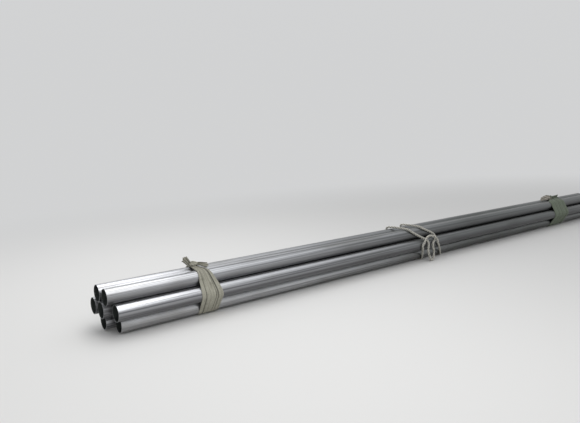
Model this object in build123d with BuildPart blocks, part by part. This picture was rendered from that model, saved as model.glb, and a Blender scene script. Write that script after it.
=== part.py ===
from build123d import *
import math
import os

# Bundle of seven steel pipes, tied near each end with a strip of sack cloth and
# slung near the middle with one endless rope. X runs along the pipes, from the
# staggered ends, +Y is the back, +Z is up. The origin is on the floor, below the
# centre pipe, at the middle of the nominal length. Millimetres.

# Pipes
pipe_od = 101.6
pipe_wall = 2.5
pipe_length = 6000.0
edge_break = 0.4
pipe_air = 0.4

# How far each pipe is pushed along the bundle, from the nominal place
slide_top_back = -36.0
slide_top_front = -27.0
slide_middle_back = -44.0
slide_centre = -35.0
slide_middle_front = 14.0
slide_bottom_back = -8.0
slide_bottom_front = 44.0

# Cloth ties; a knot's offset is from the middle of its band's width
tie_thickness = 8.0
tie_clearance = 0.3
left_tie_inset = 610.0
left_tie_width = 150.0
left_tie_neck = 66.0
left_fan_depth = 150.0
left_knot_offset = -45.0
right_tie_inset = 870.0
right_tie_width = 300.0
right_tie_neck = 110.0
right_fan_depth = 80.0
right_knot_offset = 100.0
knot_length = 62.0
knot_breadth = 54.0
knot_height = 40.0
knot_shoulder = 12.0
knot_sink = 4.0
tail_thickness = 3.0
tail_root_width = 26.0
tail_end_width = 46.0
# how far each tail reaches along the pipes, rises and leans back
left_tails = ((-62.0, 56.0, 10.0), (72.0, 12.0, -14.0))
right_tails = ((-150.0, 30.0, 4.0), (120.0, 14.0, -10.0))

# Rope: its section is drawn with a few sides, corners on the full diameter
rope_diameter = 18.0
rope_sides = 6
rope_clearance = 0.3
sling_middle = -220.0
eye_clearance = 3.0

pipe_radius = pipe_od / 2
bore_radius = pipe_radius - pipe_wall
pitch = pipe_od + pipe_air
row_rise = pitch * math.sin(math.radians(60))
bottom_row_height = tie_thickness + tie_clearance + pipe_radius
middle_row_height = bottom_row_height + row_rise
top_row_height = middle_row_height + row_rise
crest_height = top_row_height + pipe_radius
rope_radius = rope_diameter / 2

os.makedirs("parts", exist_ok=True)


def save(solid, name):
    """Labels a finished piece and writes it to its own STEP file."""
    solid.label = name
    export_step(solid, "parts/" + name + ".step")


# Pipes: a ring drawn on the end plane and drawn out to length, with the burr
# taken off both edges of both ends
def make_pipe(name, across, height, slide):
    start = Plane.YZ.offset(slide - pipe_length / 2)
    with BuildPart() as pipe:
        with BuildSketch(start) as ring:
            with Locations((across, height)):
                Circle(pipe_radius)
                Circle(bore_radius, mode=Mode.SUBTRACT)
        extrude(amount=pipe_length)
        mouths = pipe.faces().filter_by(Axis.X)
        chamfer(mouths.edges(), length=edge_break)
    save(pipe.part, name)


make_pipe("pipe_bottom_front", -pitch / 2, bottom_row_height, slide_bottom_front)
make_pipe("pipe_bottom_back", pitch / 2, bottom_row_height, slide_bottom_back)
make_pipe("pipe_middle_front", -pitch, middle_row_height, slide_middle_front)
make_pipe("pipe_centre", 0, middle_row_height, slide_centre)
make_pipe("pipe_middle_back", pitch, middle_row_height, slide_middle_back)
make_pipe("pipe_top_front", -pitch / 2, top_row_height, slide_top_front)
make_pipe("pipe_top_back", pitch / 2, top_row_height, slide_top_back)


# Cloth ties: a band round the pack, fanned out from a knot over the top back
# pipe, with two splayed tails
def pack_outline(distance):
    """The hexagon through the six outer pipe axes, grown by a distance, with round corners."""
    with BuildSketch(Plane.YZ, mode=Mode.PRIVATE) as outline:
        with Locations((0, middle_row_height)):
            RegularPolygon(radius=pitch, side_count=6)
        offset(amount=distance, kind=Kind.ARC)
    return outline.sketch_local


def make_knot(middle, across, base):
    """The lump of folded cloth, round in plan and sloped off at its top, standing on the band."""
    with BuildPart(mode=Mode.PRIVATE) as knot:
        with BuildSketch(Plane.XY.offset(base)):
            with Locations((middle, across)):
                RectangleRounded(knot_length, knot_breadth, knot_breadth / 2.4)
        extrude(amount=knot_height)
        chamfer(knot.edges().group_by(Axis.Z)[-1], length=knot_shoulder)
    return knot.part


def make_tie(name, middle, full_width, neck, fan_depth, knot_offset, tails):
    """The band, fanned out from its neck under the knot, with the knot and its tails."""
    inner = pipe_radius + tie_clearance
    outer = inner + tie_thickness
    knot_middle = middle + knot_offset
    knot_across = pitch / 2 - knot_breadth / 3
    band_top = top_row_height + outer
    knot_base = band_top - knot_sink
    with BuildPart() as tie:
        # the band
        with BuildSketch(Plane.YZ.offset(middle - full_width / 2)) as band:
            add(pack_outline(outer))
            add(pack_outline(inner), mode=Mode.SUBTRACT)
        extrude(amount=full_width)
        # its fanned width, seen from the front
        with BuildSketch(Plane.XZ.offset(-2 * pipe_od)) as fan:
            with BuildLine() as edge:
                Polyline(
                    (middle - full_width / 2, -tie_thickness),
                    (middle + full_width / 2, -tie_thickness),
                    (middle + full_width / 2, band_top - fan_depth),
                    (knot_middle + neck / 2, band_top - tie_thickness),
                    (knot_middle + neck / 2, band_top + tie_thickness),
                    (knot_middle - neck / 2, band_top + tie_thickness),
                    (knot_middle - neck / 2, band_top - tie_thickness),
                    (middle - full_width / 2, band_top - fan_depth),
                    close=True,
                )
            make_face()
        extrude(amount=4 * pipe_od, mode=Mode.INTERSECT)
        # the knot, with two tails that flare out of it
        add(make_knot(knot_middle, knot_across, knot_base))
        for reach, lift, lean in tails:
            out = math.copysign(knot_length / 4, reach)
            root = Vector(knot_middle + out, knot_across, knot_base + knot_height / 2)
            tip = root + Vector(reach, lean, lift)
            run = (tip - root).normalized()
            with BuildSketch(Plane(origin=root, x_dir=(0, 1, 0), z_dir=run)):
                Rectangle(tail_root_width, tail_thickness)
            with BuildSketch(Plane(origin=tip, x_dir=(0, 1, 0), z_dir=run)):
                Rectangle(tail_end_width, tail_thickness)
            loft()
    save(tie.part, name)


make_tie(
    "tie_strip_left",
    left_tie_inset - pipe_length / 2,
    left_tie_width,
    left_tie_neck,
    left_fan_depth,
    left_knot_offset,
    left_tails,
)
make_tie(
    "tie_strip_right",
    pipe_length / 2 - right_tie_inset,
    right_tie_width,
    right_tie_neck,
    right_fan_depth,
    right_knot_offset,
    right_tails,
)


# Rope sling: one endless rope in a single choke. Its two strands come over the
# top from the back, pass under the eye on the upper front and turn down as the
# free bight. The eye's legs go down the front, under the pack and up its back
seat = pipe_radius + rope_clearance + rope_radius
face_reach = pitch * math.cos(math.radians(30)) + seat
corner_reach = pitch + seat / math.cos(math.radians(30))
eye_reach = face_reach + rope_diameter + eye_clearance


def corner(place, angle, lift):
    """A corner of the hexagon that a strand follows, angle degrees from the back, over the top."""
    turn = math.radians(angle)
    return (
        sling_middle + place,
        (corner_reach + lift) * math.cos(turn),
        middle_row_height + (corner_reach + lift) * math.sin(turn),
    )


def on_upper_front(place, down, reach):
    """A point off the flat between the top front and middle front pipes, down from its middle."""
    turn = math.radians(150)
    return (
        sling_middle + place,
        reach * math.cos(turn) - down * math.sin(turn),
        middle_row_height + reach * math.sin(turn) + down * math.cos(turn),
    )


def arc_radii(points, seated=()):
    """For each corner, the arc that its two runs leave room for. At a corner seated on a pipe it is
    also no larger than the seat, and doesn't cut further into the corner than the seat does."""
    radii = []
    for before, here, after in zip(points, points[1:], points[2:]):
        run_in = Vector(here) - Vector(before)
        run_out = Vector(after) - Vector(here)
        half_turn = math.radians(run_in.get_angle(run_out)) / 2
        radius = 0.45 * min(run_in.length, run_out.length) / math.tan(half_turn)
        if here in seated:
            depth = corner_reach - pitch - seat
            radius = min(radius, seat, depth / (1 / math.cos(half_turn) - 1))
        radii.append(radius)
    return radii


def make_rope(name, points, radii):
    """A rope's solid: straight runs joined by tangent arcs, flat where it lies on the floor."""
    with BuildPart() as rope:
        with BuildLine() as path:
            route = FilletPolyline(*points, radius=radii)
        with BuildSketch(Plane(origin=route @ 0, z_dir=route % 0)) as section:
            RegularPolygon(rope_radius, rope_sides)
        sweep()
        whole = rope.part.volume / (section.sketch.area * route.length)
        split(bisect_by=Plane.XY, keep=Keep.TOP)
    print(name, "length %.0f, volume to section times length %.4f" % (route.length, whole))
    print("  arc radii", [round(radius) for radius in radii])
    save(rope.part, name)


# Each strand's place from the sling's middle at the corners it turns, from the
# choke over the top and round the back: top front, top back, middle back,
# bottom back, bottom front, middle front. It lies a little loose over the top
corner_angles = (120, 60, 0, 300, 240, 180)
corner_lifts = (4, 12, 0, 0, 0, 0)
left_places = (-236, -322, -238, -126, -50, -146)
right_places = (-72, -146, 10, 140, 214, 64)

left_strand = [corner(*at) for at in zip(left_places, corner_angles, corner_lifts)]
right_strand = [corner(*at) for at in zip(right_places, corner_angles, corner_lifts)]

# From the choke, where the sling meets the free bight, each strand turns up
# under the eye and lies on the upper front
left_choke = (sling_middle - 68, -167.5, 133)
left_lay = [
    (sling_middle - 60, -165, 160),
    on_upper_front(-66, 42, face_reach + 2),
    on_upper_front(-100, 18, face_reach + 1),
    on_upper_front(-150, -10, face_reach),
]
right_choke = (sling_middle - 4, -168.5, 118)
right_lay = [
    (sling_middle - 14, -167, 146),
    on_upper_front(8, 62, face_reach + 2),
    on_upper_front(40, 50, face_reach),
    on_upper_front(58, 20, face_reach),
    on_upper_front(34, -18, face_reach),
]

# The eye, from the left leg over both strands to the right leg
eye = [
    on_upper_front(-122, 56, face_reach + 12),
    on_upper_front(-90, 20, eye_reach + 1),
    on_upper_front(-36, 8, eye_reach + 2),
    on_upper_front(10, 20, eye_reach + 1),
    on_upper_front(42, 54, eye_reach + 1),
]
sling_route = [
    left_choke,
    *left_lay,
    *left_strand,
    *eye,
    *reversed(right_strand),
    *reversed(right_lay),
    right_choke,
]
make_rope("rope_sling", sling_route, arc_radii(sling_route, left_strand + right_strand))

# The free bight hangs before the middle front pipe and its fold touches the
# floor. Each point is its place from the sling's middle, across, and height
bight_shape = [
    (6, -170, 90),
    (8, -170, 60),
    (3, -170, 31),
    (-9, -170, 9.8),
    (-33, -170, 9.8),
    (-45, -170, 31),
    (-55, -170, 58),
    (-68, -170, 82),
    (-76, -170, 106),
]
bight_route = [
    right_choke,
    *[(sling_middle + along, across, height) for along, across, height in bight_shape],
    left_choke,
]
make_rope("rope_bight", bight_route, arc_radii(bight_route))
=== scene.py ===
# %% [markdown]
# # A bundle of steel pipes
#
# Seven plain steel pipes, six metres long, are tied near both ends with strips of
# sack cloth and slung near the middle with one endless rope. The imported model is
# the fixed frame: its pipes stay as they are and get a finish, and its plain cloth
# and rope solids are replaced by woven, pleated and twisted pieces.

# %% Load the frame
import math

import bpy
import numpy as np
from mathutils import Matrix, Vector


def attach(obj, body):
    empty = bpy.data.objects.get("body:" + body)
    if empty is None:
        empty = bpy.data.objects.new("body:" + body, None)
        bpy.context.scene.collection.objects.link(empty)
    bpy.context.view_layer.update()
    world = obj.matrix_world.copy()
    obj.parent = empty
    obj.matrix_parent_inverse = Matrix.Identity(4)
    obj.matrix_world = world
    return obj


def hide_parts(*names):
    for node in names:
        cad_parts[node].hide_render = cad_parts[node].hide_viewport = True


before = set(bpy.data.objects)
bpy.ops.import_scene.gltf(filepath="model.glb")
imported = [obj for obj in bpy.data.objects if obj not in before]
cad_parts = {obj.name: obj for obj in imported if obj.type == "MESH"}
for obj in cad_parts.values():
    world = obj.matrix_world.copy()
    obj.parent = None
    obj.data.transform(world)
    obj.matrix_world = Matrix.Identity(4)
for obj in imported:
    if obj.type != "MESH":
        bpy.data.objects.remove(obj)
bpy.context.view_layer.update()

# %% [markdown]
# These are the sizes that the solids were drawn with, in metres, so that the
# cloth and the rope lie on the same pipes. X runs along the pipes, from the
# staggered ends, +Y is the back and +Z is up.

# %% Sizes
pipe_radius = 0.0508
pipe_wall = 0.0025
pitch = 0.102
bottom_height = 0.0591
row_rise = pitch * math.sin(math.radians(60))
middle_height = bottom_height + row_rise
top_height = middle_height + row_rise
crest = top_height + pipe_radius
print("rows at", round(bottom_height, 4), round(middle_height, 4), round(top_height, 4), "m")

# %% [markdown]
# The camera stands a little above the bundle, beyond its staggered ends. It could
# be placed by eye, but such long pipes show the smallest error. So its place, its
# three directions and its focal length in pixels were worked out from the pipes'
# edges in the photograph.

# %% Camera
scene = bpy.context.scene
camera_place = (-3.9468, -2.9366, 1.2398)
camera_right = (0.78982, -0.61333, 0.0)
camera_up = (0.10876, 0.14006, 0.98415)
camera_back = (-0.60361, -0.77731, 0.17733)
focal_pixels = 530.0
picture_width = 580.0

camera_data = bpy.data.cameras.new("camera")
camera_data.sensor_width = 36.0
camera_data.lens = focal_pixels / picture_width * camera_data.sensor_width
camera_data.clip_end = 200.0
camera = bpy.data.objects.new("camera", camera_data)
columns = zip(camera_right, camera_up, camera_back, camera_place)
camera.matrix_world = Matrix([list(row) for row in columns] + [[0, 0, 0, 1]])
scene.collection.objects.link(camera)
scene.camera = camera
print("lens", round(camera_data.lens, 2), "mm")

# %% [markdown]
# Cloth and rope could be sculpted. Here each new piece is a grid of points worked
# out by a formula as one numpy array, because pleats and strands follow rules that
# a formula says exactly. Each cell of a grid becomes a four-sided face, and a
# closed direction joins its last line to its first.

# %% Faces of a grid
def grid_faces(rows, columns, around=False):
    """Corner numbers of each cell: (i, j), (i, j+1), (i+1, j+1), (i+1, j), in row-major order."""
    down, across = np.meshgrid(
        np.arange(rows - 1), np.arange(columns if around else columns - 1), indexing="ij"
    )
    down, across = down.ravel(), across.ravel()
    after = (across + 1) % columns
    corners = (
        down * columns + across,
        down * columns + after,
        (down + 1) * columns + after,
        (down + 1) * columns + across,
    )
    return np.stack(corners, axis=1), np.stack((down, across), axis=1)


def run_lengths(line):
    """Distance from the first point to each point, summed along the line."""
    steps = np.linalg.norm(np.diff(line, axis=0), axis=1)
    return np.concatenate(([0.0], np.cumsum(steps)))


print("a grid of 3 by 4 points has", len(grid_faces(3, 4)[0]), "faces")

# %% [markdown]
# The mesh also carries what its finish needs. Each corner gets a place in metres on
# the piece's own UV map, so that a weave has one size everywhere. A second grid of
# numbers says how deep in a fold each point lies, for the painted shade in folds,
# and it becomes an attribute that a material can read.

# %% From grids to a mesh
def add_grids(name, grids, around=False, capped=False):
    """One mesh from several (grid, crease) pairs. The UV map holds metres: U across the middle row,
    V down the middle column. The attribute "crease" is 1 at the bottom of a fold and 0 on top."""
    points, faces, corner_uv, creases, smooth = [], [], [], [], []
    start = 0
    for grid, crease in grids:
        rows, columns = grid.shape[:2]
        quads, cells = grid_faces(rows, columns, around)
        down = run_lengths(grid[:, columns // 2])
        ring = grid[rows // 2]
        across = run_lengths(np.vstack((ring, ring[:1])) if around else ring)
        corners = [
            np.stack((across[cells[:, 1] + step_across], down[cells[:, 0] + step_down]), axis=1)
            for step_down, step_across in ((0, 0), (0, 1), (1, 1), (1, 0))
        ]
        corner_uv.append(np.stack(corners, axis=1).reshape(-1, 2))
        points.append(grid.reshape(-1, 3))
        creases.append(crease.ravel())
        faces += (quads + start).tolist()
        smooth += [True] * len(quads)
        if capped:
            smooth += [False, False]
            last_row = start + (rows - 1) * columns
            faces.append(list(range(start, start + columns))[::-1])
            faces.append(list(range(last_row, last_row + columns)))
            corner_uv.append(np.zeros((2 * columns, 2)))
        start += rows * columns
    mesh = bpy.data.meshes.new(name)
    mesh.from_pydata(np.concatenate(points).tolist(), [], faces)
    mesh.uv_layers.new(name="metres").data.foreach_set("uv", np.concatenate(corner_uv).ravel())
    mesh.polygons.foreach_set("use_smooth", smooth)
    folds = mesh.attributes.new("crease", "FLOAT", "POINT")
    folds.data.foreach_set("value", np.clip(np.concatenate(creases), 0.0, 1.0))
    mesh.update()
    piece = bpy.data.objects.new(name, mesh)
    scene.collection.objects.link(piece)
    print(name, "has", len(mesh.vertices), "points and", len(faces), "faces")
    return piece


print("helper: add_grids")

# %% [markdown]
# A finish is a small network of nodes. It could be joined up by hand in the shader
# editor, but then nobody could read it in a script. These helpers put a node in a
# tree, set its sockets and join it to others, so that a finish is a list of steps.

# %% Helpers for nodes
def feed(tree, node, **inputs):
    """Gives each named input a value or a link. An input is named by its label, with _ for a
    space, or by i and its number, such as i0."""
    for label, value in inputs.items():
        numbered = label[0] == "i" and label[1:].isdigit()
        socket = node.inputs[int(label[1:]) if numbered else label.replace("_", " ")]
        if isinstance(value, bpy.types.NodeSocket):
            tree.links.new(value, socket)
        else:
            socket.default_value = value


def put(tree, kind, settings=(), **inputs):
    """Adds a node, sets its options and feeds its inputs."""
    node = tree.nodes.new(kind)
    for option, value in dict(settings).items():
        setattr(node, option, value)
    feed(tree, node, **inputs)
    return node


def math_step(tree, operation, *values):
    """One step of arithmetic on values or sockets."""
    inputs = {"i%d" % place: value for place, value in enumerate(values)}
    return put(tree, "ShaderNodeMath", {"operation": operation}, **inputs).outputs[0]


def opposite(tree, value):
    """One less the value."""
    return math_step(tree, "SUBTRACT", 1.0, value)


def between(tree, value, low, high):
    """0 where the value is at low or less, 1 where it is at high or more, smooth between."""
    inputs = {"Value": value, "From Min": low, "From Max": high}
    return put(tree, "ShaderNodeMapRange", {"interpolation_type": "SMOOTHSTEP"}, **inputs).outputs[0]


print("helpers: feed, put, math_step, opposite and between")


# %% Helpers for colours and noise
def blend_colours(tree, share, first, second, kind="MIX"):
    """The first colour where the share is 0 and the second where it is 1."""
    settings = {"data_type": "RGBA", "blend_type": kind, "clamp_factor": True}
    first, second = (
        tone if isinstance(tone, bpy.types.NodeSocket) else (*tone, 1.0) for tone in (first, second)
    )
    return put(tree, "ShaderNodeMix", settings, i0=share, i6=first, i7=second).outputs[2]


def stain(tree, colour, mask, strength, stained):
    """The colour, brought towards the stained one by the mask times the strength."""
    return blend_colours(tree, math_step(tree, "MULTIPLY", mask, strength), colour, stained)


def noise(tree, vector, scale, detail, rough):
    """Cloudy noise from 0 to 1. Three scales stretch it by different amounts along X, Y and Z."""
    if isinstance(scale, tuple):
        vector = put(tree, "ShaderNodeMapping", Vector=vector, Scale=scale).outputs[0]
        scale = 1.0
    inputs = {"Vector": vector, "Scale": scale, "Detail": detail, "Roughness": rough}
    return put(tree, "ShaderNodeTexNoise", **inputs).outputs[0]


print("helpers: blend_colours, stain and noise")

# %% [markdown]
# An effect that several finishes share is a node group with named sockets. It is
# built once and placed in each material with its own values.

# %% Helpers for groups and materials
FLOAT = "NodeSocketFloat"
VECTOR = "NodeSocketVector"


def new_group(name, inputs, outputs):
    """An empty node group with the named sockets, as (name, kind, value) and (name, kind). It
    comes with the sockets that it is given and the node that takes what it gives."""
    tree = bpy.data.node_groups.new(name, "ShaderNodeTree")
    for label, kind, value in inputs:
        socket = tree.interface.new_socket(name=label, in_out="INPUT", socket_type=kind)
        if value is not None:
            socket.default_value = value
    for label, kind in outputs:
        tree.interface.new_socket(name=label, in_out="OUTPUT", socket_type=kind)
    return tree, tree.nodes.new("NodeGroupInput").outputs, tree.nodes.new("NodeGroupOutput")


def use_group(tree, group, **inputs):
    """Places a group in a tree and sets its sockets."""
    return put(tree, "ShaderNodeGroup", {"node_tree": group}, **inputs).outputs


def new_material(name):
    """A material with an empty Principled surface, and its tree and shader."""
    material = bpy.data.materials.new(name)
    material.use_nodes = True
    tree = material.node_tree
    return material, tree, tree.nodes["Principled BSDF"]


print("helpers: new_group, use_group and new_material")

# %% [markdown]
# Steel first. These are cold formed, welded tubes: the strip leaves the rolls with
# fine bright and dull lines along its length, and it is a little oily and dusty.
# The lines could be modelled as scratches, but they are far too fine for a mesh.
# They are noise that is stretched a few hundredfold along the pipe: broad lines,
# fine lines, and rounder clouds for the oil.

# %% Mill lines
mill_lines, given, gives = new_group(
    "mill lines",
    [("Vector", VECTOR, None)],
    [("Lines", FLOAT), ("Fine", FLOAT), ("Clouds", FLOAT)],
)
place = given["Vector"]
feed(
    mill_lines,
    gives,
    Lines=noise(mill_lines, place, (0.35, 70.0, 70.0), 4.0, 0.6),
    Fine=noise(mill_lines, place, (1.1, 420.0, 420.0), 3.0, 0.6),
    Clouds=noise(mill_lines, place, (1.6, 9.0, 9.0), 3.0, 0.55),
)
print("group", mill_lines.name, "has", len(mill_lines.nodes), "nodes")

# %% [markdown]
# One pipe has four zones. The bore is painted near black, as the shade deep in the
# tube, the cut end and its edge are bright, a thin line of weld runs along the
# outside, and the lower side is painted darker, as shade. The zones could be
# painted on, but one formula fits all seven pipes. They are told apart by the
# distance from the pipe's own axis, the place along it and the angle round it,
# so a Mapping node first brings the axis to the middle.

# %% A group for the zones of a pipe
half_length = 3.0
pipe_zones, given, gives = new_group(
    "pipe zones",
    [
        ("Vector", VECTOR, None),
        ("Bore radius", FLOAT, pipe_radius - pipe_wall),
        ("Half length", FLOAT, half_length),
        ("Weld angle", FLOAT, 0.0),
    ],
    [("Bore", FLOAT), ("Rim", FLOAT), ("Weld", FLOAT), ("Lower", FLOAT)],
)
print("group", pipe_zones.name, "reads", given.keys()[:4])

# %% Bore and rim by distance
place = put(pipe_zones, "ShaderNodeSeparateXYZ", Vector=given["Vector"]).outputs
across_squared = math_step(pipe_zones, "MULTIPLY", place[1], place[1])
out_squared = math_step(pipe_zones, "MULTIPLY_ADD", place[2], place[2], across_squared)
out = math_step(pipe_zones, "SQRT", out_squared)
past_bore = math_step(pipe_zones, "SUBTRACT", out, given["Bore radius"])
bore = opposite(pipe_zones, between(pipe_zones, past_bore, 0.0003, 0.0012))
from_middle = math_step(pipe_zones, "ABSOLUTE", place[0])
from_end = math_step(pipe_zones, "SUBTRACT", given["Half length"], from_middle)
rim = opposite(pipe_zones, between(pipe_zones, from_end, 0.0003, 0.0009))
print("bore and rim from", len(pipe_zones.nodes), "nodes")

# %% Weld by angle, oily side by height
angle = math_step(pipe_zones, "ARCTAN2", place[2], place[1])
off_weld = math_step(pipe_zones, "SUBTRACT", angle, given["Weld angle"])
off_weld = math_step(pipe_zones, "WRAP", off_weld, math.pi, -math.pi)
off_weld = math_step(pipe_zones, "ABSOLUTE", off_weld)
weld = opposite(pipe_zones, between(pipe_zones, off_weld, 0.012, 0.034))
# the mask of the painted shade on the pipe's lower side
raised = math_step(pipe_zones, "DIVIDE", place[2], pipe_radius)
lower = opposite(pipe_zones, between(pipe_zones, raised, -0.25, 0.75))
feed(pipe_zones, gives, Bore=bore, Rim=rim, Weld=weld, Lower=lower)
print("group", pipe_zones.name, "has", len(pipe_zones.nodes), "nodes")

# %% [markdown]
# Each pipe gets its own copy of the steel, because its axis, its weld and the
# painted shade on its lower side differ: one shared steel would line the welds up.
# Metal stays metal all over, and the dull parts are rougher and darker, not less
# metallic. The far half of the pack lies in the hall's shade in the photograph, so
# the colour also sinks towards a dark grey along X.

# %% The colour of steel
bright_line = (0.70, 0.71, 0.73)
dull_line = (0.30, 0.30, 0.315)
dusty_oil = (0.20, 0.19, 0.17)
shaded_steel = (0.074, 0.081, 0.075)
shade_starts, shade_ends = -3.2, 0.8
# painted shade, darkening the lower side of each pipe
painted_underside_shade = (0.075, 0.075, 0.08)
weld_line = (0.16, 0.17, 0.20)
# painted shade: the bore's near-black colour
bore_shade = (0.085, 0.095, 0.09)
cut_end = (0.32, 0.33, 0.34)


def steel_colour(tree, coordinates, texture, zones, shade, oily, shade_below):
    """Bright and dull lines times fine ones, stained by oily clouds, painted shade along X and below, the
    weld, the bore's painted shade and the rim.
    """
    dull, bright = ([shade * part for part in tone] for tone in (dull_line, bright_line))
    colour = blend_colours(tree, between(tree, texture["Lines"], 0.36, 0.56), dull, bright)
    fine = math_step(tree, "MULTIPLY_ADD", texture["Fine"], 0.5, 0.72)
    fine_grey = put(tree, "ShaderNodeCombineColor", Red=fine, Green=fine, Blue=fine).outputs[0]
    colour = blend_colours(tree, 0.8, colour, fine_grey, "MULTIPLY")
    colour = blend_colours(tree, oily, colour, dusty_oil)
    along = put(tree, "ShaderNodeSeparateXYZ", Vector=coordinates).outputs[0]
    colour = stain(tree, colour, between(tree, along, shade_starts, shade_ends), 0.86, shaded_steel)
    # painted shade: the lower side of the pipe is darkened
    colour = stain(tree, colour, zones["Lower"], shade_below, painted_underside_shade)
    colour = stain(tree, colour, zones["Weld"], 0.35, weld_line)
    # painted shade: the bore is coloured near black
    colour = blend_colours(tree, zones["Bore"], colour, bore_shade)
    return stain(tree, colour, zones["Rim"], 0.8, cut_end)


print("steel from", bright_line, "to", shaded_steel)


# %% Steel for one pipe
def steel(name, across, height, slide, weld_angle, shade, shade_below):
    """Mill finish and painted shade for one pipe: base colour by lines, clouds and zones, roughness with
    them.
    """
    material, tree, shader = new_material("steel " + name)
    coordinates = put(tree, "ShaderNodeTexCoord").outputs["Object"]
    own = put(tree, "ShaderNodeMapping", Vector=coordinates, Location=(-slide, -across, -height))
    zones = use_group(tree, pipe_zones, Vector=own.outputs[0], Weld_angle=weld_angle)
    texture = use_group(tree, mill_lines, Vector=coordinates)
    oily = math_step(tree, "MULTIPLY", between(tree, texture["Clouds"], 0.45, 0.7), 0.4)
    colour = steel_colour(tree, coordinates, texture, zones, shade, oily, shade_below)
    rough = math_step(tree, "MULTIPLY_ADD", texture["Lines"], 0.16, 0.24)
    rough = math_step(tree, "MULTIPLY_ADD", oily, 0.25, rough)
    rough = math_step(tree, "MULTIPLY_ADD", zones["Bore"], 0.25, rough)
    relief = math_step(tree, "MULTIPLY_ADD", zones["Weld"], 0.6, texture["Fine"])
    bump = put(tree, "ShaderNodeBump", Height=relief, Strength=0.25, Distance=0.0004).outputs[0]
    feed(tree, shader, Base_Color=colour, Roughness=rough, Normal=bump, Metallic=0.92)
    return material


print("helper: steel")

# %% Steel on the seven pipes
# each one's place across, its height, how far it is pushed along the pack, its weld's angle
# from +Y, its lightness, and how much painted shade darkens its lower side
pipes = {
    "pipe_bottom_front": (-pitch / 2, bottom_height, 0.044, 2.2, 0.98, 0.15),
    "pipe_bottom_back": (pitch / 2, bottom_height, -0.008, -0.6, 0.95, 0.5),
    "pipe_middle_front": (-pitch, middle_height, 0.014, 2.9, 1.0, 0.72),
    "pipe_centre": (0.0, middle_height, -0.035, 1.1, 0.9, 0.7),
    "pipe_middle_back": (pitch, middle_height, -0.044, 0.4, 0.93, 0.7),
    "pipe_top_front": (-pitch / 2, top_height, -0.027, 2.45, 1.03, 0.72),
    "pipe_top_back": (pitch / 2, top_height, -0.036, 1.9, 0.97, 0.7),
}
for name, values in pipes.items():
    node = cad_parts[name]
    node.data.materials.clear()
    node.data.materials.append(steel(name, *values))
print("steel on", len(pipes), "pipes")

# %% [markdown]
# The ties are strips torn from woven sacks, one layer thick and pulled round the
# pack, so that they lie in long soft pleats. A cloth simulation could pull them
# tight, but it would need minutes and would lose the sharp creases. So a band is a
# profile carried along a path: the path is the tight outline of the pack, six arcs
# on the outer pipes and six straight runs between them, and the profile is a row
# of waves that run along the strip and crowd together towards the knot.

# %% The pack's tight outline
# A point is an outer pipe's axis plus the pipe's radius outwards, at an angle from +Y over the
# top. The points start on the top back pipe and end with the same arc again.
arc_points = 41
arc = np.radians(np.linspace(-30.0, 30.0, arc_points))
turns = np.radians(np.arange(60.0, 421.0, 60.0))
centres = np.repeat(turns, arc_points)
outline_angles = (turns[:, None] + arc).ravel()
outline_across = pitch * np.cos(centres) + pipe_radius * np.cos(outline_angles)
outline_up = middle_height + pitch * np.sin(centres) + pipe_radius * np.sin(outline_angles)
outline_lengths = run_lengths(np.stack((outline_across, outline_up), axis=1))
outline_whole = 6 * pitch + 2 * math.pi * pipe_radius


def on_outline(distance, height):
    """Points at a height off the outline, a distance round it, as places across and up."""
    along = np.mod(distance, outline_whole)
    turn = np.interp(along, outline_lengths, outline_angles)
    across = np.interp(along, outline_lengths, outline_across) + height * np.cos(turn)
    up = np.interp(along, outline_lengths, outline_up) + height * np.sin(turn)
    return across, up


print("outline is", round(outline_whole, 4), "m round")

# %% [markdown]
# Both ties are made by the same functions. Pulled cloth lies in low waves with a
# few sharp creases between them, which run along the strip and wander a little, so
# that they don't look combed. The waves are sines, and each crease is a narrow
# bell cut out of them.

# %% Waves and creases of pulled cloth
def pulled_waves(draw, u, v):
    """Two sines over u, from -1 to 1, whose phases drift with v."""
    phases = draw.uniform(0, 2 * math.pi, 4)
    drift = 0.8 * np.sin(5.3 * v + phases[0]) + 0.5 * np.sin(11.7 * v + phases[1])
    return (
        0.6 * np.sin(2 * math.pi * 4.0 * u + drift + phases[2])
        + 0.4 * np.sin(2 * math.pi * 9.0 * u - 1.3 * drift + phases[3])
    )


def sharp_creases(draw, u, v, creases, width):
    """The sum of one bell for each crease, depth exp(-((u - place) / reach) squared). Its place
    sways with v, and its depth fades and comes back. The reach is 3.0 to 4.6 mm."""
    places = (np.arange(creases) + draw.uniform(0.2, 0.8, creases)) / creases
    sway = draw.uniform(0, 2 * math.pi, (2, creases))
    depths = draw.uniform(0.45, 1.0, creases)
    reach = draw.uniform(0.0030, 0.0046, creases) / width
    u, v = u[..., None], v[..., None]
    swayed = places + 0.020 * np.sin(4.1 * v + sway[0]) + 0.010 * np.sin(9.7 * v + sway[1])
    fade = 0.65 + 0.35 * np.sin(6.0 * v + sway[1])
    return np.sum(depths * fade * np.exp(-(((u - swayed) / reach) ** 2)), axis=2)


print("helpers: pulled_waves and sharp_creases")

# %% [markdown]
# The band starts and ends under the knot, narrow and bunched, and fans out evenly
# on the way down the front and the back. Its hems lie closer to the pipes than its
# middle does.

# %% The band of a tie
knot_around = 0.071
wave_lift, bunched_lift = 0.0016, 0.0022
crease_depth = 0.0022
hem_share = 0.05


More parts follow.
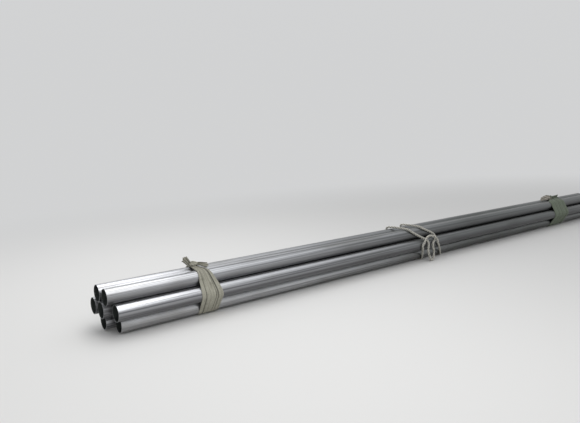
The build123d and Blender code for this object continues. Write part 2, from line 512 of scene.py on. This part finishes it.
def band_grid(middle, width, neck, fan, knot_place, creases, seed, rows=300, columns=151):
    """Point (v, u): u goes across the strip, v round the pack from the knot and back to it.
    Along X = the strip's own middle + (u - 1/2) times its width there, which grows almost evenly
    from the neck to the full width over the fan's length, while the middle moves from the knot's
    to the band's. Height = waves over u, less the creases, and lower towards both hems."""
    draw = np.random.default_rng(seed)
    v, u = np.meshgrid(np.linspace(0.0, 1.0, rows), np.linspace(0.0, 1.0, columns), indexing="ij")
    travelled = v * outline_whole
    from_knot = np.minimum(travelled, outline_whole - travelled) / fan
    even = np.clip(from_knot, 0.0, 1.0)
    open_share = even - 0.04 * np.sin(2 * math.pi * even)
    bunch = 1.0 - open_share
    wide = neck + (width - neck) * open_share
    centre = knot_place + (middle - knot_place) * open_share
    edge_wander = 0.005 * np.sin(7.0 * v + draw.uniform(0, 6)) * open_share
    waves = pulled_waves(draw, u, v)
    valleys = sharp_creases(draw, u, v, creases, width)
    ridges = crease_depth * (1.0 + bunch) * (1.0 - np.clip(valleys, 0.0, 1.0))
    height = 0.0010 + (wave_lift + bunched_lift * bunch) * (1.0 + waves) + ridges
    inside = np.clip(np.minimum(u, 1.0 - u) / hem_share, 0.0, 1.0)
    hem = inside * inside * (3.0 - 2.0 * inside)
    height = 0.0006 + height * (0.3 + 0.7 * hem)
    along = centre + (u - 0.5) * wide + edge_wander * (u - 0.5) * 2.0
    across, up = on_outline(knot_around + travelled, height)
    # how deep in painted fold shade each point lies: crease valleys, wave troughs and bunched cloth
    crease = 0.9 * valleys + 0.25 * (0.5 - 0.5 * waves) + 0.25 * bunch
    return np.stack((along, across, up), axis=2), crease


print("knot", round(knot_around - math.pi / 3 * pipe_radius, 4), "m past the top back pipe's arc")

# %% [markdown]
# A knot in such a strip is two bunched lengths that cross: each comes up off the
# band, turns over the other, and leaves on the far side as a loose tail. All of
# them follow smooth lines by a few chosen points. A Blender curve could give such
# a line, but pleats also need two directions square to it at every point.

# %% Smooth lines and the directions along them
def smooth_line(points, count):
    """A clamped uniform cubic B-spline: each span blends four neighbours by the cubic weights."""
    control = np.asarray(points, dtype=float)
    control = np.vstack((control[:1], control[:1], control, control[-1:], control[-1:]))
    spans = len(control) - 3
    place = np.linspace(0.0, spans - 1e-9, count)
    first = place.astype(int)
    t = (place - first)[:, None]
    weights = (
        (1 - t) ** 3 / 6,
        (3 * t**3 - 6 * t**2 + 4) / 6,
        (-3 * t**3 + 3 * t**2 + 3 * t + 1) / 6,
        t**3 / 6,
    )
    return sum(weight * control[first + step] for step, weight in enumerate(weights))


def unit(vectors):
    """Vectors divided by their lengths."""
    return vectors / np.linalg.norm(vectors, axis=-1, keepdims=True)


def carried_frames(line):
    """Two directions square to the line at each point, carried along it with no spin: each takes
    the last one's and drops its part along the line."""
    run = unit(np.gradient(line, axis=0))
    side = np.empty_like(run)
    start = np.cross(run[0], (0.0, 0.0, 1.0))
    side[0] = unit(start if np.linalg.norm(start) > 0.1 else np.cross(run[0], (0.0, 1.0, 0.0)))
    for place in range(1, len(line)):
        last = side[place - 1]
        side[place] = unit(last - run[place] * np.dot(last, run[place]))
    return run, side, np.cross(run, side)


def spread(share, values):
    """The values at a share of the way, where they lie evenly from 0 to 1."""
    return np.interp(share, np.linspace(0, 1, len(values)), values)


print("helpers: smooth_line, unit, carried_frames and spread")


# %% A bunched length
def bunch_grid(points, broad, thick, seed, rows=90, columns=72):
    """A closed fluted tube: at angle a its point is broad/2 cos a sideways and thick/2 sin a up,
    times one plus flutes whose phase drifts along the line. Broad and thick go from the first
    value to the last along it."""
    draw = np.random.default_rng(seed)
    line = smooth_line(points, rows)
    _, side, up = carried_frames(line)
    angle = np.linspace(0.0, 2 * math.pi, columns, endpoint=False)[None, :]
    share = np.linspace(0.0, 1.0, rows)[:, None]
    phases = draw.uniform(0, 2 * math.pi, 4)
    flutes = (
        0.16 * np.cos(7 * angle + phases[0] + 1.5 * share)
        + 0.10 * np.cos(12 * angle + phases[1] - 2.5 * share)
        + 0.05 * np.cos(19 * angle + phases[2] + 4.0 * share)
    )
    swell = 1.0 + 0.08 * np.sin(9 * share + phases[3])
    reach = (1.0 + flutes) * swell
    sideways = spread(share, broad) / 2 * np.cos(angle) * reach
    upwards = spread(share, thick) / 2 * np.sin(angle) * reach
    grid = line[:, None] + side[:, None] * sideways[..., None] + up[:, None] * upwards[..., None]
    # the second grid is how deep in painted fold shade each point lies
    return grid, 0.25 - 4.0 * flutes


print("helper: bunch_grid")


# %% A loose tail
tear_points = 25


def tail_grid(points, broad, turned, seed, rows=80, columns=61):
    """An open strip along a smooth line: at u it stands (u - 1/2) times its breadth to the side,
    turned about the line by an angle that goes from the first value to the last. It has pleats
    that are deepest at the root and a torn end whose length varies with u."""
    draw = np.random.default_rng(seed)
    line = smooth_line(points, rows)
    run, flat_side, flat_up = carried_frames(line)
    share, u = np.meshgrid(np.linspace(0, 1, rows), np.linspace(0, 1, columns), indexing="ij")
    turn = np.radians(spread(share[:, :1], turned))
    side = flat_side * np.cos(turn) + flat_up * np.sin(turn)
    up = flat_up * np.cos(turn) - flat_side * np.sin(turn)
    phases = draw.uniform(0, 2 * math.pi, 5)
    folds = (
        np.sin(2 * math.pi * 3.0 * u + phases[0] + 1.2 * share)
        + 0.6 * np.sin(2 * math.pi * 5.5 * u + phases[1] - 1.7 * share)
    )
    depth = 0.0045 * (1.0 - 0.7 * share) * folds + 0.006 * share * np.sin(3.0 * u + phases[2])
    tear = (
        0.006 * np.sin(2 * math.pi * 1.3 * u + phases[4])
        + 0.005 * spread(u, draw.uniform(-1, 1, tear_points))
    ) * share**3
    grid = (
        line[:, None]
        + side[:, None] * ((u - 0.5) * spread(share, broad))[..., None]
        + up[:, None] * depth[..., None]
        + run[:, None] * tear[..., None]
    )
    # the second grid is how deep in painted fold shade each point lies
    return grid, 0.15 - 0.5 * folds


print("helper: tail_grid")

# %% [markdown]
# Sack cloth is woven from flat tapes, over and under, about two millimetres wide.
# Tapes could be modelled one by one, but there would be thousands. On the strip's
# own UV map in metres the weave is two rows of ridges at right angles, and each
# square shows the one that lies over the other. Each tape also has its own tone.

# %% A group for the weave
weave, given, gives = new_group(
    "weave",
    [("UV", VECTOR, None), ("Tape width", FLOAT, 0.002)],
    [("Height", FLOAT), ("Tone", FLOAT)],
)
spot = put(weave, "ShaderNodeSeparateXYZ", Vector=given["UV"]).outputs
print("group", weave.name, "reads", given.keys()[:2])

# %% Which tape lies over, its height and its tone
# both ways the tapes are numbered, and each is one round ridge, |sin(pi x)|
numbers, ridges = [], []
for axis in (0, 1):
    tapes = math_step(weave, "DIVIDE", spot[axis], given["Tape width"])
    sine = math_step(weave, "SINE", math_step(weave, "MULTIPLY", tapes, math.pi))
    numbers.append(math_step(weave, "FLOOR", tapes))
    ridges.append(math_step(weave, "ABSOLUTE", sine))
square = math_step(weave, "ADD", *numbers)
over = math_step(weave, "ABSOLUTE", math_step(weave, "MODULO", square, 2.0))
upper = math_step(weave, "MULTIPLY", ridges[0], over)
lower = math_step(weave, "MULTIPLY", ridges[1], opposite(weave, over))
warp_tone = noise(weave, given["UV"], (430.0, 14.0, 1.0), 2.0, 0.5)
weft_tone = noise(weave, given["UV"], (14.0, 430.0, 1.0), 2.0, 0.5)
tone = put(weave, "ShaderNodeMix", i0=over, i2=weft_tone, i3=warp_tone).outputs[0]
feed(weave, gives, Height=math_step(weave, "ADD", upper, lower), Tone=tone)
print("group", weave.name, "has", len(weave.nodes), "nodes")

# %% [markdown]
# Dust and grease follow slow clouds on the cloth, the creases are painted dark as
# shade, and the gaps between tapes are dark. The left tie is a pale grey-green sack.
# The right one is greener, and one of its tails is bleached almost white, with
# painted light making it paler still.

# %% Sack cloth
grease = (0.10, 0.098, 0.07)
# painted shade for folds and creases
crease_shade = (0.045, 0.044, 0.032)
tape_gap = (0.09, 0.088, 0.065)


def sack_cloth(name, pale, dark):
    """Woven sack cloth: pale and dark mixed by tape tone, with clouds of dirt and a woven bump."""
    material, tree, shader = new_material(name)
    coordinates = put(tree, "ShaderNodeTexCoord").outputs
    woven = use_group(tree, weave, UV=coordinates["UV"])
    clouds = noise(tree, coordinates["Object"], 26.0, 4.0, 0.6)
    colour = blend_colours(tree, between(tree, woven["Tone"], 0.3, 0.75), dark, pale)
    colour = stain(tree, colour, between(tree, clouds, 0.5, 0.75), 0.45, grease)
    folds = put(tree, "ShaderNodeAttribute", {"attribute_name": "crease"}).outputs["Fac"]
    # painted shade: creases, wave troughs and bunched cloth are darkened
    colour = stain(tree, colour, between(tree, folds, 0.12, 0.85), 0.84, crease_shade)
    colour = stain(tree, colour, opposite(tree, woven["Height"]), 0.3, tape_gap)
    bump = put(tree, "ShaderNodeBump", Height=woven["Height"], Strength=0.5, Distance=0.0005)
    feed(tree, shader, Base_Color=colour, Normal=bump.outputs[0], Roughness=0.72)
    return material


pale_cloth = sack_cloth("sack cloth", (0.47, 0.455, 0.38), (0.32, 0.31, 0.25))
green_cloth = sack_cloth("green sack cloth", (0.165, 0.20, 0.145), (0.105, 0.132, 0.09))
# bleached cloth, painted paler still as light for a tail that gets little lamp light
bleached_and_lit_cloth = sack_cloth("bleached and lit sack cloth", (0.68, 0.63, 0.56), (0.50, 0.46, 0.40))
print("cloths", [cloth.name for cloth in (pale_cloth, green_cloth, bleached_and_lit_cloth)])

# %% [markdown]
# The knot is the same in both ties. Its lengths and the tails are placed from the
# knot's own middle, on the top back pipe. An open surface gets the cloth's
# thickness from a Solidify modifier, so that its torn edge isn't a bare line.

# %% The knot and its two tails
knot_across = 0.033
knot_base = crest + 0.001
cloth_thick = 0.0009
front_length = (
    (0.004, -0.066, -0.008),
    (0.000, -0.044, -0.002),
    (-0.008, -0.022, 0.008),
    (-0.014, -0.002, 0.020),
    (-0.002, 0.014, 0.027),
    (0.016, 0.010, 0.022),
    (0.030, -0.002, 0.014),
)
back_length = (
    (0.004, 0.050, -0.008),
    (0.006, 0.034, 0.002),
    (0.012, 0.014, 0.012),
    (0.008, -0.010, 0.022),
    (-0.006, -0.018, 0.020),
    (-0.020, -0.010, 0.018),
    (-0.030, 0.000, 0.020),
)


def at_knot(knot, points):
    """Points given from the knot's middle, at their places on the pack."""
    return [(knot + x, knot_across + y, knot_base + z) for x, y, z in points]


def add_knot(name, knot, neck, seed):
    """Two bunched lengths that cross: each starts as broad as the neck and gathers to a cord."""
    breadths = (neck * 0.8, 0.034, 0.026, 0.024, 0.024)
    thicknesses = (0.006, 0.012, 0.017, 0.017, 0.014)
    grids = [
        bunch_grid(at_knot(knot, points), breadths, thicknesses, seed + count)
        for count, points in enumerate((front_length, back_length))
    ]
    return add_grids(name, grids, around=True, capped=True)


def thicken(piece):
    """Gives an open surface the cloth's thickness, outwards from its drawn side."""
    solid = piece.modifiers.new("thickness", "SOLIDIFY")
    solid.thickness = cloth_thick
    solid.offset = 1.0
    solid.use_even_offset = False


print("knot's middle", round(knot_across, 3), "m across,", round(knot_base, 4), "m up")

# %% [markdown]
# Each tie is declared as a sheet of the size it was cut to, with the knot's lengths
# and the tails as pieces on it, so that the tools can compare the band's area with
# the flat cloth's.

# %% A whole tie
def make_tie(name, node, middle, width, neck, fan, creases, knot_offset, tails, cloths, seed):
    """The band, two bunched lengths that cross in the knot, and a tail from each. The cloths are
    the band's and the first tail's."""
    knot = middle + knot_offset
    band = add_grids(name + "_band", [band_grid(middle, width, neck, fan, knot, creases, seed)])
    thicken(band)
    lengths = add_knot(name + "_knot", knot, neck, seed + 1)
    ends = []
    for count, (points, broad, turned) in enumerate(tails):
        grid = tail_grid(at_knot(knot, points), broad, turned, seed + 3 + count)
        ends.append(add_grids(name + "_tail_%d" % (count + 1), [grid]))
        thicken(ends[-1])
    for piece in [band, lengths, *ends]:
        piece.data.materials.append(cloths[1] if piece is ends[0] else cloths[0])
        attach(piece, "root")
    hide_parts(node)
    print(name, "is", len(ends) + 2, "pieces")


print("helper: make_tie")

# %% [markdown]
# The left tie was pulled tightest: it fans from a narrow neck to about 150 mm, and
# its tails are short. A tail is a line from the knot, its breadths along the line,
# and how far it has turned about the line at each, in degrees.

# %% The left tie
left_tails = (
    (
        ((-0.020, 0.000, 0.016), (-0.032, -0.002, 0.024), (-0.046, 0.000, 0.044), (-0.064, 0.004, 0.066)),
        (0.022, 0.034, 0.050),
        (20.0, 60.0, 75.0),
    ),
    (
        ((0.020, 0.004, 0.018), (0.044, -0.006, 0.014), (0.066, -0.016, 0.008), (0.088, -0.026, 0.004)),
        (0.022, 0.036, 0.042),
        (0.0, 35.0, 50.0),
    ),
)
make_tie(
    "tie_left",
    "tie_strip_left",
    middle=-2.39,
    width=0.150,
    neck=0.044,
    fan=0.280,
    creases=6,
    knot_offset=-0.034,
    tails=left_tails,
    cloths=(pale_cloth, pale_cloth),
    seed=11,
)

# %% [markdown]
# The right tie is a strip twice as broad, hardly drawn in at its knot. One long
# bleached tail, painted paler still as light, lies back over the pack, and a short
# one stands out the other way.

# %% The right tie
right_tails = (
    (
        ((-0.022, -0.006, 0.018), (-0.070, -0.006, 0.028), (-0.150, -0.006, 0.028), (-0.250, -0.004, 0.014)),
        (0.026, 0.056, 0.026),
        (-10.0, -55.0, -60.0),
    ),
    (
        ((0.024, 0.006, 0.016), (0.056, 0.000, 0.014), (0.094, -0.008, 0.012), (0.132, -0.014, 0.014)),
        (0.024, 0.040, 0.050),
        (0.0, 45.0, 60.0),
    ),
)
make_tie(
    "tie_right",
    "tie_strip_right",
    middle=2.13,
    width=0.300,
    neck=0.104,
    fan=0.100,
    creases=9,
    knot_offset=0.100,
    tails=right_tails,
    cloths=(green_cloth, bleached_and_lit_cloth),
    seed=31,
)

# %% [markdown]
# The rope is one endless length in a single choke. Two strands come over the top
# from the back, pass under the eye on the upper front and turn down as the free
# bight. The eye's two legs go down the front, under the pack and up its back. A
# tube bent round the pack would look like wire, so the line is a smooth spline: on
# each outer pipe three control points stand just off the pipe, so that the spline
# lies on it, and the runs between are almost straight.

# %% Where the rope turns round the pack
rope = 0.018
seat = pipe_radius + 0.0003 + rope / 2
face_reach = pitch * math.cos(math.radians(30)) + seat
eye_reach = face_reach + rope + 0.003
sling_middle = -0.220
corner_spread = 20.0
drift_share = 0.128
corner_angles = (120, 60, 0, 300, 240, 180)
corner_lifts = (0.0015, 0.0060, 0.0006, 0.0006, 0.0006, 0.0006)


def corner_point(place, angle, lean, reach):
    """A point off the outer pipe at an angle round the pack, reach away from that pipe's axis."""
    turn, lean = math.radians(angle), math.radians(lean)
    return (
        sling_middle + place,
        pitch * math.cos(turn) + reach * math.cos(lean),
        middle_height + pitch * math.sin(turn) + reach * math.sin(lean),
    )


def tight_points(places, before, after):
    """Three control points on each outer pipe, 20 degrees apart about its axis, at the seat over
    the cosine of half that. Along the pack the outer two drift towards the neighbour's place. Over
    the top the strand lies a little loose. The last pipe has two, since the eye lifts off it."""
    ends = [before, *places, after]
    points = []
    for count, (place, angle, lift) in enumerate(zip(places, corner_angles, corner_lifts)):
        reach = seat / math.cos(math.radians(corner_spread / 2)) + lift
        for step, other in ((-1, ends[count]), (0, place), (1, ends[count + 2])):
            drifted = place + drift_share * (other - place)
            points.append(corner_point(drifted, angle, angle - step * corner_spread, reach))
    return points[:-1]


print("rope's axis", round(seat - pipe_radius, 4), "m off the pipes that it turns round")

# %% The tight part's line
def on_upper_front(reach, *spots):
    """Points off the flat between the top front and middle front pipes. A spot says how far along
    it is, how far down from the flat's middle, and how much further off than the reach."""
    turn = math.radians(150)
    return [
        (
            sling_middle + place,
            (reach + lift) * math.cos(turn) - down * math.sin(turn),
            middle_height + (reach + lift) * math.sin(turn) + down * math.cos(turn),
        )
        for place, down, lift in spots
    ]


left_choke = (sling_middle - 0.068, -0.1675, 0.133)
right_choke = (sling_middle - 0.004, -0.1685, 0.118)
left_places = (-0.236, -0.322, -0.238, -0.126, -0.050, -0.146)
right_places = (-0.072, -0.146, 0.010, 0.140, 0.214, 0.064)
left_lay = ((-0.066, 0.042, 0.002), (-0.100, 0.018, 0.001), (-0.150, -0.010, 0))
right_lay = ((0.008, 0.062, 0.002), (0.040, 0.050, 0), (0.058, 0.020, 0), (0.034, -0.018, 0))
over_both = ((-0.090, 0.020, 0.001), (-0.036, 0.008, 0.002), (0.010, 0.020, 0.001), (0.042, 0.054, 0.001))
left_part = [
    left_choke,
    (sling_middle - 0.060, -0.165, 0.160),
    *on_upper_front(face_reach, *left_lay),
    *tight_points(left_places, -0.150, -0.122),
]
right_part = [
    right_choke,
    (sling_middle - 0.014, -0.167, 0.146),
    *on_upper_front(face_reach, *right_lay),
    *tight_points(right_places, 0.034, 0.042),
]
eye = on_upper_front(face_reach, (-0.122, 0.056, 0.012)) + on_upper_front(eye_reach, *over_both)
sling_points = [*left_part, *eye, *reversed(right_part)]
print("tight part has", len(sling_points), "control points")

# %% [markdown]
# The free bight hangs before the middle front pipe, and its fold touches the
# floor. Its points were placed along the rope in the photograph, and they are the
# same ones as the solid's.

# %% The free bight's line
bight_across = -0.170
bight_shape = [
    (0.006, 0.090),
    (0.008, 0.060),
    (0.003, 0.031),
    (-0.009, 0.0098),
    (-0.033, 0.0098),
    (-0.045, 0.031),
    (-0.055, 0.058),
    (-0.068, 0.082),
    (-0.076, 0.106),
]
bight_points = [
    right_choke,
    *[(sling_middle + along, bight_across, up) for along, up in bight_shape],
    left_choke,
]
print("bight has", len(bight_points), "control points")

# %% [markdown]
# The strands follow points read from each spline. A round tube with a twisted bump
# would be quicker, but its outline would stay smooth, and a laid rope's is knobbly.

# %% Points read from a spline
line_step = 0.003


def spline_line(name, points):
    """Points of a smooth NURBS curve with these control points, read from a curve with no bevel."""
    curve = bpy.data.curves.new(name, "CURVE")
    curve.dimensions = "3D"
    spline = curve.splines.new("NURBS")
    spline.points.add(len(points) - 1)
    spline.points.foreach_set("co", np.hstack((points, np.ones((len(points), 1)))).ravel())
    spline.order_u = 3
    spline.use_endpoint_u = True
    spline.resolution_u = 12
    holder = bpy.data.objects.new(name, curve)
    scene.collection.objects.link(holder)
    mesh = bpy.data.meshes.new_from_object(holder)
    line = np.empty(3 * len(mesh.vertices))
    mesh.vertices.foreach_get("co", line)
    bpy.data.objects.remove(holder)
    bpy.data.curves.remove(curve)
    bpy.data.meshes.remove(mesh)
    return line.reshape(-1, 3)


def even_line(line):
    """The same line with points an even step apart, by linear interpolation over its length."""
    along = run_lengths(line)
    places = np.linspace(0.0, along[-1], int(round(along[-1] / line_step)) + 1)
    return np.stack([np.interp(places, along, line[:, axis]) for axis in range(3)], axis=1)


sling_line = even_line(spline_line("sling line", sling_points))
bight_line = even_line(spline_line("bight line", bight_points))
for label, line in (("tight part", sling_line), ("bight", bight_line)):
    print(label, "is", round(run_lengths(line)[-1], 3), "m long")

# %% [markdown]
# A laid rope is three strands that wind round their line: each strand's middle is a
# helix about the line, at just over half the rope's radius, and a round profile is
# carried along that helix. Three that just touch have 0.464 of the rope's radius.
# The rope is endless, so both lines are joined to one closed round, and the lay is
# drawn out by the little that makes the strands meet.

# %% Three strands along a line
strand_share = 0.464
lay_length = 4.0 * rope
uneven_places = 60


def lay_turns(draw, length, side, up):
    """The first strand's even turn at each point, and the small errors of a worked rope's lay.
    The whole turn is a whole number of thirds, less the angle between the last frame and the
    first, so that the strands of a closed line meet."""
    spin = math.atan2(np.dot(side[-1], up[0]), np.dot(side[-1], side[0]))
    thirds = round((2 * math.pi * length[-1] / lay_length + spin) / (2 * math.pi / 3))
    whole = thirds * 2 * math.pi / 3 - spin
    errors = draw.uniform(-0.35, 0.35, uneven_places)
    errors[-1] = errors[0]
    uneven = np.interp(length, np.linspace(0, length[-1], uneven_places), errors)
    return whole * length / length[-1], uneven


def strand_grids(line, seed, columns=14):
    """Strand k's middle = the line + helix radius times (cos t, sin t) in the carried frame, with
    t = the turn + 2 pi k / 3. Its surface is a circle of the strand's radius about that middle,
    a little fuller and thinner by turns. Each crease value is 1 towards the line."""
    _, side, up = carried_frames(line)
    length = run_lengths(line)
    even, uneven = lay_turns(np.random.default_rng(seed), length, side, up)
    angle = np.linspace(0.0, 2 * math.pi, columns, endpoint=False)
    over, beside = np.cos(angle)[None, :, None], np.sin(angle)[None, :, None]
    # inward marks the strand's side towards the rope's line, for the painted valley shade
    inward = np.repeat(((1.0 - np.cos(angle)) / 2)[None, :], len(line), axis=0)
    radius = rope / 2
    grids = []
    for strand in range(3):
        turn = even + 2 * math.pi * strand / 3 + uneven
        outward = side * np.cos(turn)[:, None] + up * np.sin(turn)[:, None]
        middle = line + outward * radius * (1 - strand_share)
        heading = unit(np.gradient(middle, axis=0))
        outward = unit(outward - heading * np.sum(outward * heading, axis=1)[:, None])
        sideways = np.cross(heading, outward)
        fullness = radius * strand_share * (1.07 + 0.03 * np.sin(41 * length + 2 * strand))
        profile = over * outward[:, None] + beside * sideways[:, None]
        grids.append((middle[:, None] + profile * fullness[:, None, None], inward))
    return grids


strands = strand_grids(np.vstack((sling_line, bight_line[1:])), 51)
print(len(strands), "strands with", strands[0][0].shape[0], "rings each")

# %% [markdown]
# The closed round is cut in two where the tight part meets the free bight. Under
# the pack the weight of the pipes has pressed the rope into the gap over the floor,
# so there each point is moved up by its share.

# %% The rope's two parts
floor_gap = bottom_height - pipe_radius - 0.0003
fullest_rope = 1.08 * rope


def press_flat(grid):
    """The grid with each point's depth below the pipes' undersides shrunk in the ratio of the gap
    over the floor to the rope's thickness."""
    pressed = grid.copy()
    depth = np.maximum(floor_gap - grid[..., 2], 0.0)
    pressed[..., 2] += depth * (1.0 - floor_gap / fullest_rope)
    return pressed


join = len(sling_line)
sling_grids = [(press_flat(grid[:join]), inward[:join]) for grid, inward in strands]
bight_grids = [(grid[join - 1 :], inward[join - 1 :]) for grid, inward in strands]
sling = add_grids("sling_strands", sling_grids, around=True, capped=True)
bight = add_grids("bight_strands", bight_grids, around=True, capped=True)

# %% [markdown]
# Rope fibre is pale, with yarns that run across each strand at a slant, and the
# valleys between strands are painted dark as shade. The UV map of a strand is
# metres round it and along it, so the yarns are slanting waves on it.

# %% Rope finish
yarn_around, yarn_along = 0.0026, 0.011
pale_fibre = (0.74, 0.72, 0.65)
grey_fibre = (0.46, 0.45, 0.40)
yarn_gap = (0.18, 0.17, 0.14)
rope_grease = (0.16, 0.15, 0.12)
# painted shade in the valleys between strands
valley_shade = (0.028, 0.026, 0.022)

rope_finish, tree, shader = new_material("rope fibre")
coordinates = put(tree, "ShaderNodeTexCoord").outputs
spot = put(tree, "ShaderNodeSeparateXYZ", Vector=coordinates["UV"]).outputs
slant_along = math_step(tree, "MULTIPLY", spot[1], 2 * math.pi / yarn_along)
slant = math_step(tree, "MULTIPLY_ADD", spot[0], 2 * math.pi / yarn_around, slant_along)
yarns = math_step(tree, "MULTIPLY_ADD", math_step(tree, "SINE", slant), 0.5, 0.5)
fibres = noise(tree, coordinates["UV"], (2600.0, 260.0, 1.0), 3.0, 0.6)
clouds = noise(tree, coordinates["Object"], 18.0, 4.0, 0.6)
colour = blend_colours(tree, between(tree, fibres, 0.3, 0.7), grey_fibre, pale_fibre)
colour = stain(tree, colour, opposite(tree, yarns), 0.3, yarn_gap)
colour = stain(tree, colour, between(tree, clouds, 0.5, 0.72), 0.45, rope_grease)
valley = put(tree, "ShaderNodeAttribute", {"attribute_name": "crease"}).outputs["Fac"]
# painted shade: the valleys between strands are darkened
colour = stain(tree, colour, between(tree, valley, 0.18, 0.6), 0.92, valley_shade)
relief = math_step(tree, "ADD", yarns, fibres)
bump = put(tree, "ShaderNodeBump", Height=relief, Strength=0.6, Distance=0.0006)
feed(tree, shader, Base_Color=colour, Normal=bump.outputs[0], Roughness=0.75)
print(rope_finish.name, "has", len(tree.nodes), "nodes")

# %% [markdown]
# Both parts take the places of their plain solids. The bight is a free cord, and
# its far end goes back into the tight part.

# %% Both parts on the object
for piece, node in ((sling, "rope_sling"), (bight, "rope_bight")):
    piece.data.materials.append(rope_finish)
    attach(piece, "root")
    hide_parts(node)
print("rope in two pieces,", sling.name, "and", bight.name)

# %% [markdown]
# The floor is plain and pale and is no part of the object. A small floor would end
# in a hard line, so it is very wide, and far away it fades into the even tone
# behind it, for the camera and for what shines. No horizon cuts the picture.

# %% Floor
backdrop = (0.64, 0.645, 0.65)
reach = 60
fade_starts, fade_ends = 1.7, 4.6
floor_mesh = bpy.data.meshes.new("floor")
floor_corners = [(-reach, -reach, 0), (reach, -reach, 0), (reach, reach, 0), (-reach, reach, 0)]
floor_mesh.from_pydata(floor_corners, [], [(0, 1, 2, 3)])
floor = bpy.data.objects.new("floor", floor_mesh)
scene.collection.objects.link(floor)
floor_finish, tree, shader = new_material("pale floor")
feed(tree, shader, Base_Color=(0.70, 0.695, 0.68, 1.0), Roughness=0.9, Specular_IOR_Level=0.2)
floor_mesh.materials.append(floor_finish)
print("floor", 2 * reach, "m wide")

# %% The floor's fade
coordinates = put(tree, "ShaderNodeTexCoord").outputs["Object"]
shortened = put(tree, "ShaderNodeMapping", Vector=coordinates, Scale=(0.45, 1.0, 1.0)).outputs[0]
from_middle = put(tree, "ShaderNodeVectorMath", {"operation": "LENGTH"}, i0=shortened).outputs["Value"]
rays = put(tree, "ShaderNodeLightPath").outputs
seen = math_step(tree, "MAXIMUM", rays["Is Camera Ray"], rays["Is Glossy Ray"])
seen = math_step(tree, "MAXIMUM", seen, rays["Is Transmission Ray"])
fade = math_step(tree, "MULTIPLY", between(tree, from_middle, fade_starts, fade_ends), seen)
even_tone = put(tree, "ShaderNodeEmission", Color=(*backdrop, 1.0)).outputs[0]
surface = put(tree, "ShaderNodeMixShader", i0=fade, i1=shader.outputs[0], i2=even_tone).outputs[0]
feed(tree, tree.nodes["Material Output"], Surface=surface)
print("floor fades from", fade_starts, "to", fade_ends, "m")

# %% [markdown]
# In the photograph the light falls from high windows on the near ends, and the
# steel shows it as long white streaks. A lamp with a small face would give hard
# spots, so a broad soft lamp hangs above the near ends, long across the pipes and
# short along them, and a weaker, square one above the far ends.

# %% Lamps
def soft_lamp(name, place, target, across, along, power):
    """A rectangular area lamp that faces a target. Place and target have the same Y, so that the
    first size lies across the pipes and the second one along them."""
    data = bpy.data.lights.new(name, "AREA")
    data.shape = "RECTANGLE"
    data.size = across
    data.size_y = along
    data.energy = power
    lamp = bpy.data.objects.new(name, data)
    turned = (Vector(target) - Vector(place)).to_track_quat("-Z", "Y")
    lamp.matrix_world = Matrix.Translation(place) @ turned.to_matrix().to_4x4()
    scene.collection.objects.link(lamp)
    print(name, "of", power, "W")


soft_lamp("key lamp", (-2.2, -0.5, 3.3), (-2.6, -0.5, 0.2), 6.2, 1.6, 76.0)
soft_lamp("far lamp", (2.4, 0.0, 5.0), (1.6, 0.0, 0.2), 4.0, 4.0, 14.0)

# %% [markdown]
# The sky lights the rest evenly. It has the floor's far tone at the horizon and is
# a little paler overhead, as in a lit hall, which the bright steel needs: metal
# under a black sky looks black.

# %% Sky
overhead = (0.70, 0.71, 0.73)
world = bpy.data.worlds.new("sky")
scene.world = world
world.use_nodes = True
tree = world.node_tree
direction = put(tree, "ShaderNodeTexCoord").outputs["Generated"]
upwards = put(tree, "ShaderNodeSeparateXYZ", Vector=direction).outputs[2]
colour = blend_colours(tree, between(tree, upwards, 0.05, 0.9), backdrop, overhead)
feed(tree, tree.nodes["Background"], Color=colour, Strength=1.0)
scene.view_settings.view_transform = "Standard"
print("sky from", backdrop, "to", overhead)
